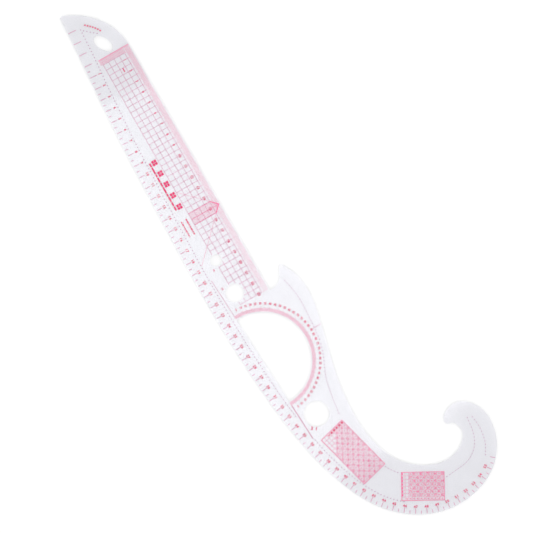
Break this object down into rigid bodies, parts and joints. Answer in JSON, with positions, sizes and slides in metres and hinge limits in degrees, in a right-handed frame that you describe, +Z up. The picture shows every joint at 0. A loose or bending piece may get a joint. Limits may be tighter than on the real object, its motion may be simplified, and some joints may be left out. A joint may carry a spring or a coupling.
{
  "type": "french curve",
  "caption": "Clear flat tailor's curve with a straight scale, grid, protractor window, round templates and a hooked tail, with red printed marks.",
  "frame": {"origin": "under the middle of the sheet's bounding box, on the face that the sheet lies on", "axes": "+Y along the straight edge towards the rounded head, +X across the sheet from the outer scale towards the hook, +Z up out of the printed face"},
  "size_m": [0.1536, 0.5064, 0.0013],
  "materials": {
    "clear_acrylic": "clear, polished faces and die-cut edges",
    "red_ink": "screen-printed ink, satin",
    "tint_ink": "screen-printed fine strokes and halftone, satin"
  },
  "bodies": {
    "root": {"ruler_sheet": "clear_acrylic", "straight_scale_band": "tint_ink", "pattern_grid": "red_ink", "bias_lines": "red_ink", "centre_arrow": "tint_ink", "protractor_band": "tint_ink", "ninety_degree_mark": "red_ink", "protractor_centre_mark": "red_ink", "upper_guide_line": "red_ink", "lower_guide_line": "red_ink", "size_table": "red_ink", "curve_table": "red_ink"}
  },
  "joints": []
}
